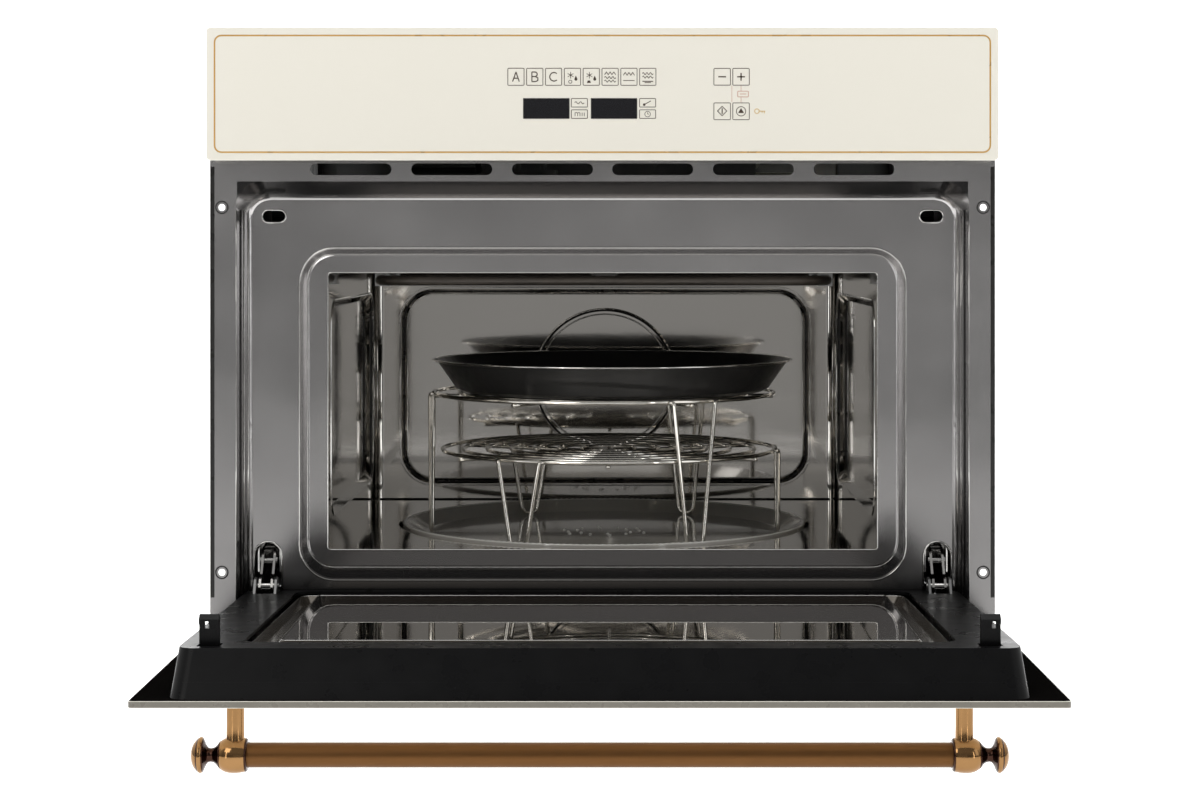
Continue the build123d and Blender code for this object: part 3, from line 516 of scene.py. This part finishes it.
# black print on the back of the glass, outside the inner frame
def back_print():
    n = []
    def rect(hx, z0, z1, r):
        pts = []
        for cx, cz, a in ((hx - r, z1 - r, 0), (-hx + r, z1 - r, 90), (-hx + r, z0 + r, 180), (hx - r, z0 + r, 270)):
            for i in range(7):
                q = math.radians(a + 90 * i / 6)
                pts.append((cx + r * math.cos(q), cz + r * math.sin(q)))
        return pts
    o, i = rect(297.0, 2.5, 350.5, 2.6), rect(272.4, 7.6, 346.4, 14)
    c = len(o)
    v = [D(x, -16.58, z) for x, z in o] + [D(x, -16.58, z) for x, z in i] + [D(x, -16.5, z) for x, z in o] + [D(x, -16.5, z) for x, z in i]
    f = []
    for a in range(c):
        b = (a + 1) % c
        f += [(a, b, c + b, c + a), (2 * c + a, 3 * c + a, 3 * c + b, 2 * c + b), (a, 2 * c + a, 2 * c + b, b), (c + a, c + b, 3 * c + b, 3 * c + a)]
    return obj("door_back_print", v, f, M["print_black"], "door")
back_print()

# ------------------------------------------------------------------ welded racks
TT = 192.0
def circle_pts(cx, r, z, n=120):
    return [P(cx + r * math.cos(2 * math.pi * i / n), TT + r * math.sin(2 * math.pi * i / n), z) for i in range(n)]


def bend(points, rad, steps=6):
    """Polyline with rounded corners, in mm."""
    out = [Vector(points[0])]
    for a, b, c in zip(points, points[1:], points[2:]):
        a, b, c = Vector(a), Vector(b), Vector(c)
        u, v = (a - b), (c - b)
        cut = min(rad, u.length * 0.45, v.length * 0.45)
        p, q = b + u.normalized() * cut, b + v.normalized() * cut
        for i in range(steps + 1):
            t = i / steps
            out.append(p * (1 - t) ** 2 + b * 2 * t * (1 - t) + q * t ** 2)
    out.append(Vector(points[-1]))
    return out


def rack(name, body, node, cx, rings, z_top, angs, spoke0, rw=1.8, v_foot=7.0, v_top=19.0):
    acc = ([], [])
    zr = z_top - rw
    for i, r in enumerate(rings):
        sweep_tube("", circle_pts(cx, r, zr), rw if i == 0 else rw * 0.92, None, None, closed=True, add=acc)
    for s in range(3):
        a = math.radians(spoke0 + 60 * s)
        c = Vector((math.cos(a), math.sin(a)))
        pts = [P(cx + c.x * rings[0] * q, TT + c.y * rings[0] * q, zr - 1.75 * rw + 0.012 * s) for q in [i / 10 for i in range(-10, 11)]]
        sweep_tube("", pts, rw, None, None, add=acc)
    lr = rings[0] + 2 * rw - 0.9
    zf = 51.1 + rw
    for deg in angs:
        a = math.radians(deg)
        def at(p):
            x, y, z = p
            return P(cx + x * math.cos(a) - y * math.sin(a), TT + x * math.sin(a) + y * math.cos(a), z)
        loc = bend([(lr - 3.2, v_top + 3.0, zr + 0.2), (lr - 0.3, v_top, zr - 1.0), (lr, v_foot, zf), (lr, -v_foot, zf), (lr - 0.3, -v_top, zr - 1.0), (lr - 3.2, -v_top - 3.0, zr + 0.2)], 6)
        sweep_tube("", [at(p) for p in loc], rw, None, None, add=acc)
    o = obj(name, acc[0], acc[1], M["wire"], body, smooth=True)
    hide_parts(node)
    return o


rack("low_rack_welded", "low_rack_body", "low_rack", 4, [139, 122, 102, 82, 62, 42, 22], 122.6, (0, 120, 240), 30)
rack("high_rack_welded", "high_rack_body", "high_rack", 0, [142, 120, 97, 74, 50, 25], 169.8, (60, 180, 300), 0)

# rim of the pan: a bright rolled line
n = 140
rim = [P(7 + 150.1 * math.cos(2 * math.pi * i / n), TT + 150.1 * math.sin(2 * math.pi * i / n), 195.7) for i in range(n)]
sweep_tube("pan_rolled_rim", rim, 0.75, M["chrome"], "pan_body", closed=True, n=10)

# beaded rim and raised dots of the glass tray
n = 420
sweep_tube("tray_beaded_rim", [P(166.6 * math.cos(2 * math.pi * i / n), TT + 166.6 * math.sin(2 * math.pi * i / n), 60.0) for i in range(n)], [1.25 if i % 2 else 0.7 for i in range(n)], M["bead_glass"], "tray", closed=True, n=8)
acd = ([], [])
for i in range(12):
    q = math.radians(30 * i + 8)
    for rr in ((24, 36) if i % 2 else (30,)):
        lathe("", [(-0.4, 1.5), (0.35, 1.4), (0.8, 0.9), (1.0, 0.3)], P(rr * math.cos(q), TT + 0.8 * rr * math.sin(q), 51.2), (0, 0, 1), None, None, n=12, add=acd)
obj("tray_centre_dots", acd[0], acd[1], M["bead_glass"], "tray", smooth=True)

# ------------------------------------------------------------------ turned handle pieces
BZ, BY = 324.5, -56.0
acc, acf, acn = ([], []), ([], []), ([], [])
for s in (-1, 1):
    c = D(0, BY, BZ)
    barrel = [(225.6, 7.9), (225.8, 9.9), (226.6, 10.6), (228.2, 10.9), (230.0, 11.3), (232.5, 11.55), (235.0, 11.6), (237.2, 11.45), (239.2, 11.0), (241.0, 10.3), (242.6, 9.3), (244.0, 8.0), (245.2, 6.6), (246.2, 5.5), (247.2, 4.8), (248.4, 4.4), (249.6, 4.3), (250.6, 4.5), (250.9, 4.7)]
    lathe("", [(s * a, b) for a, b in barrel], c, (1, 0, 0), None, None, add=acc)
    post = [(9.0, 6.3), (9.9, 6.1), (11.2, 5.85), (20, 5.75), (32.5, 5.75), (34.9, 5.8)]
    lathe("", post, D(s * 233.5, BY, BZ), (0, 0, 1), None, None, add=acc)
    # necks and collar rings in the dark brass: patina, and painted dark reflection
    neck = [(242.9, 9.12), (244.0, 8.06), (245.2, 6.66), (246.2, 5.56), (247.2, 4.86), (248.4, 4.46), (249.6, 4.36), (250.7, 4.6), (251.6, 5.46), (252.6, 7.26), (253.4, 9.36), (254.2, 10.84)]
    lathe("", [(s * a, b) for a, b in neck], c, (1, 0, 0), None, None, add=acn)
    lathe("", [(s * a, b) for a, b in [(225.5, 7.8), (225.6, 10.0), (226.5, 10.7), (226.8, 10.7)]], c, (1, 0, 0), None, None, add=acn)
    lathe("", [(s * a, b) for a, b in [(257.0, 10.9), (257.3, 10.72), (257.9, 10.3)]], c, (1, 0, 0), None, None, add=acn)
    fin = [(250.7, 4.4), (251.6, 5.4), (252.6, 7.2), (253.4, 9.3), (254.2, 10.8), (255.0, 11.45), (255.8, 11.6), (256.6, 11.3), (257.2, 10.6), (257.6, 10.4), (258.6, 9.7), (259.8, 8.3), (260.8, 6.6), (261.5, 4.7), (261.9, 2.6), (262.0, 0.6)]
    lathe("", [(s * a, b) for a, b in fin], c, (1, 0, 0), None, None, add=acf)
o = obj("handle_posts_turned", acc[0], acc[1], M["brass"], "door", smooth=True)
autosmooth(o, 40)
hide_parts("handle_posts")
obj("handle_patina_and_painted_reflection", acn[0], acn[1], M["patina_and_reflection"], "door", smooth=True)
o = obj("handle_finials_turned", acf[0], acf[1], M["brass"], "door", smooth=True)
autosmooth(o, 40)
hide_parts("handle_finials")

# ------------------------------------------------------------------ rims rolled round the slots and holes of the frame
def rim_path(pts, y, r, name, material, body="oven"):
    return sweep_tube(name, [P(x, y, z) for x, z in pts], r, material, body, closed=True, n=8)


def stadium(xc, zc, w, h, n=10):
    r = min(w, h) / 2
    pts = []
    for cx, cz, a in ((xc + w / 2 - r, zc + h / 2 - r, 0), (xc - w / 2 + r, zc + h / 2 - r, 90), (xc - w / 2 + r, zc - h / 2 + r, 180), (xc + w / 2 - r, zc - h / 2 + r, 270)):
        for i in range(n + 1):
            q = math.radians(a + 90 * i / n)
            pts.append((cx + r * math.cos(q), cz + r * math.sin(q)))
    return pts


for s, nm in ((-1, "left"), (1, "right")):
    rim_path(stadium(s * 252, 313.5, 18.2, 9.6), 16.9, 0.65, f"latch_slot_rim_{nm}", M["chrome"])
    arch = [(s * 256.5 - 10.7, 20), (s * 256.5 - 10.7, 53.3)] + [(s * 256.5 - 10.7 * math.cos(math.radians(q)), 53.3 + 10.7 * math.sin(math.radians(q))) for q in range(10, 180, 10)] + [(s * 256.5 + 10.7, 53.3), (s * 256.5 + 10.7, 20)]
    sweep_tube(f"hinge_slot_rim_{nm}", [P(x, 16.8, z) for x, z in arch], 0.8, M["chrome"], "oven", n=8)
    for hz, tag in ((43, "low"), (320, "high")):
        rim_path([(s * 289 + 4.6 * math.cos(2 * math.pi * i / 32), hz + 4.6 * math.sin(2 * math.pi * i / 32)) for i in range(32)], -1.0, 0.55, f"fixing_hole_rim_{nm}_{tag}", M["dark_line"])

# painted shadow: a dark strip along each side edge of the flange, where its edge step is in shade
for s, nm in ((-1, "left"), (1, "right")):
    e = Flat(f"flange_edge_painted_shadow_{nm}", M["dark_line"], "oven", lambda x, z, d: P(x, -1.0 - d, z), thick=0.1)
    e.poly([(s * 294.6, 24), (s * 297.6, 24), (s * 297.6, 351), (s * 294.6, 351)])
    e.done()

# pressed edges of the recess: chrome lines as painted highlights on the edges, and a dark line as painted shade in the
# fold
for s, nm in ((-1, "left"), (1, "right")):
    for tag, x, y, r, key in (("outer", 278.2, -0.7, 0.5, "chrome"), ("fold", 275.6, 5.0, 0.8, "dark_line"), ("middle", 273.6, 9.0, 0.45, "chrome"), ("inner", 271.4, 14.6, 0.7, "chrome")):
        sweep_tube(f"recess_edge_{tag}_{nm}", [P(s * x, y, z) for z in (26, 120, 220, 318)], r, M[key], "oven", n=8)

# bright cut edge round the oven opening, and chrome beads along the edges of its raised rim as painted highlights on
# those rounded edges
def rrect_pts(hx, z0, z1, r, n=6):
    pts = []
    for cx, cz, a in ((hx - r, z1 - r, 0), (-hx + r, z1 - r, 90), (-hx + r, z0 + r, 180), (hx - r, z0 + r, 270)):
        for i in range(n + 1):
            q = math.radians(a + 90 * i / n)
            pts.append((cx + r * math.cos(q), cz + r * math.sin(q)))
    return pts

rim_path(rrect_pts(210.0, 58.5, 270.5, 2.5), 11.3, 0.55, "opening_bright_edge", M["chrome"])
rim_path(rrect_pts(232.4, 34.6, 289.4, 27, n=10), 16.7, 0.75, "raised_rim_outer_edge", M["chrome"])
rim_path(rrect_pts(225.6, 45.2, 284.6, 20, n=10), 11.2, 0.3, "raised_rim_inner_edge", M["chrome"])
# embossed panel and ring of the rear wall: chrome beads as painted highlights and dark beads as painted shade on their
# steps
rim_path(rrect_pts(187.6, 71.4, 252.6, 30, n=8), 371.8, 0.6, "rear_emboss_outer_bead", M["chrome"])
rim_path(rrect_pts(184.2, 74.8, 249.2, 27.5, n=8), 374.4, 1.1, "rear_emboss_inner_bead", M["dark_line"])
rim_path(rrect_pts(181.2, 77.8, 246.2, 25, n=8), 376.7, 0.45, "rear_emboss_floor_bead", M["chrome"])
rim_path([(64.0 * math.cos(2 * math.pi * i / 72), 167.5 + 64.0 * math.sin(2 * math.pi * i / 72)) for i in range(72)], 375.6, 1.2, "rear_ring_dark_bead", M["dark_line"])
rim_path([(60.2 * math.cos(2 * math.pi * i / 72), 167.5 + 60.2 * math.sin(2 * math.pi * i / 72)) for i in range(72)], 375.8, 0.55, "rear_ring_bright_bead", M["chrome"])
sweep_tube("rear_floor_joint", [P(x, 371.6, 58.9) for x in (-206, 0, 206)], 0.8, M["dark_line"], "oven", n=8)
# embossed panels of the side walls: a chrome bead as painted highlight and a dark groove line as painted shade on the
# step, and a chrome line as painted highlight at the rear corner
for s, nm in ((-1, "left"), (1, "right")):
    pts = []
    for cx, cz, a in ((326, 224, 0), (56, 224, 90), (56, 104, 180), (326, 104, 270)):
        for i in range(7):
            q = math.radians(a + 90 * i / 6)
            pts.append(P(s * 210.2, cx + 24 * math.cos(q), cz + 24 * math.sin(q)))
    sweep_tube(f"side_emboss_bead_{nm}", pts, 1.0, M["chrome"], "oven", closed=True, n=8)
    sweep_tube(f"side_emboss_groove_{nm}", [p * 1.0 + Vector((s * 0.0016, 0, 0)) + Vector((0, (-0.0028 if p.y > -0.09 else 0.0028), 0)) for p in pts], 1.2, M["dark_line"], "oven", closed=True, n=8)
    sweep_tube(f"rear_corner_joint_{nm}", [P(s * 208.2, 369.6, z) for z in (59.5, 160, 269.5)], 1.1, M["chrome"], "oven", n=8)

# ------------------------------------------------------------------ camera
cam = bpy.data.cameras.new("camera")
co = bpy.data.objects.new("camera", cam)
bpy.context.scene.collection.objects.link(co)
co.location = (0.011, -1.813 - 0.2785, 0.293)
co.rotation_euler = (math.radians(90), 0, 0)
cam.sensor_width = 36.0
cam.lens = 71.61
cam.shift_x = -0.0142
cam.shift_y = -0.1308
cam.clip_end = 50
bpy.context.scene.camera = co

# ------------------------------------------------------------------ floor and lights
me = bpy.data.meshes.new("studio_floor")
S, ZF = 6.0, -0.48
prof = [(-S, ZF), (3.8, ZF)] + [(3.8 + 0.8 * math.sin(math.radians(a)), ZF + 0.8 - 0.8 * math.cos(math.radians(a))) for a in range(10, 91, 10)] + [(4.6, 5.0)]
vs, fs = [], []
for y, z in prof:
    vs += [(-S, y, z), (S, y, z)]
for i in range(len(prof) - 1):
    fs.append((2 * i, 2 * i + 1, 2 * i + 3, 2 * i + 2))
me.from_pydata(vs, [], fs)
for p in me.polygons:
    p.use_smooth = True
floor = bpy.data.objects.new("studio_floor", me)
bpy.context.scene.collection.objects.link(floor)
me.materials.append(mat("floor_paper", (0.92, 0.92, 0.915), rough=0.8, var=0.04, scale=12, base2=(0.90, 0.90, 0.895), mottling=2, spec=0.2, emission=((1, 1, 1), 0.55)))


def area(name, loc, target, size, power, color=(1, 1, 1), size_y=None):
    l = bpy.data.lights.new(name, "AREA")
    l.shape = "RECTANGLE"
    l.size, l.size_y = size, size_y or size
    l.energy = power
    l.color = color
    o = bpy.data.objects.new(name, l)
    bpy.context.scene.collection.objects.link(o)
    o.location = loc
    o.rotation_euler = (Vector(target) - Vector(loc)).to_track_quat("-Z", "Y").to_euler()
    return o


area("key", (-1.5, -2.6, 1.9), (0, -0.1, 0.2), 1.3, 17, (1, 0.985, 0.96))
area("fill", (2.3, -2.0, 1.0), (0, -0.1, 0.2), 1.0, 6, (0.97, 0.985, 1), size_y=1.8)
area("opening_front", (0.02, -2.35, 0.02), (0.0, 0.1, 0.12), 0.84, 0.16, (1, 0.985, 0.965), size_y=0.50)
area("strip_left", (-1.05, -1.9, 0.25), (0, 0.0, 0.2), 0.10, 1.6, (1, 1, 1), size_y=1.1)
area("strip_right", (1.10, -1.9, 0.25), (0, 0.0, 0.2), 0.10, 1.6, (1, 1, 1), size_y=1.1)
area("top", (0, -0.5, 2.4), (0, -0.4, 0), 1.6, 18)
area("back_wash", (0, 2.9, 2.6), (0, 4.6, 0.0), 5.0, 110, size_y=0.6)

w = bpy.data.worlds.new("studio")
bpy.context.scene.world = w
w.use_nodes = True
nt = w.node_tree
bg = nt.nodes["Background"]
tc = nt.nodes.new("ShaderNodeTexCoord")
sp = nt.nodes.new("ShaderNodeSeparateXYZ")
nt.links.new(tc.outputs["Generated"], sp.inputs[0])
ry = nt.nodes.new("ShaderNodeMapRange")
ry.inputs["From Min"].default_value = -0.55
ry.inputs["From Max"].default_value = 0.35
ry.inputs["To Min"].default_value = 0.24
ry.inputs["To Max"].default_value = 1.0
nt.links.new(sp.outputs["Y"], ry.inputs["Value"])
# dark studio wall low down behind the camera, pale ceiling
rz = nt.nodes.new("ShaderNodeMapRange")
rz.inputs["From Min"].default_value = -0.15
rz.inputs["From Max"].default_value = 0.45
rz.inputs["To Min"].default_value = 0.40
rz.inputs["To Max"].default_value = 1.25
nt.links.new(sp.outputs["Z"], rz.inputs["Value"])
mu = nt.nodes.new("ShaderNodeMath")
mu.operation = "MULTIPLY"
nt.links.new(ry.outputs["Result"], mu.inputs[0])
nt.links.new(rz.outputs["Result"], mu.inputs[1])
bg.inputs["Color"].default_value = (1, 0.995, 0.985, 1)
nt.links.new(mu.outputs["Value"], bg.inputs["Strength"])

bpy.context.scene.view_settings.view_transform = "Standard"
bpy.context.scene.view_settings.look = "None"
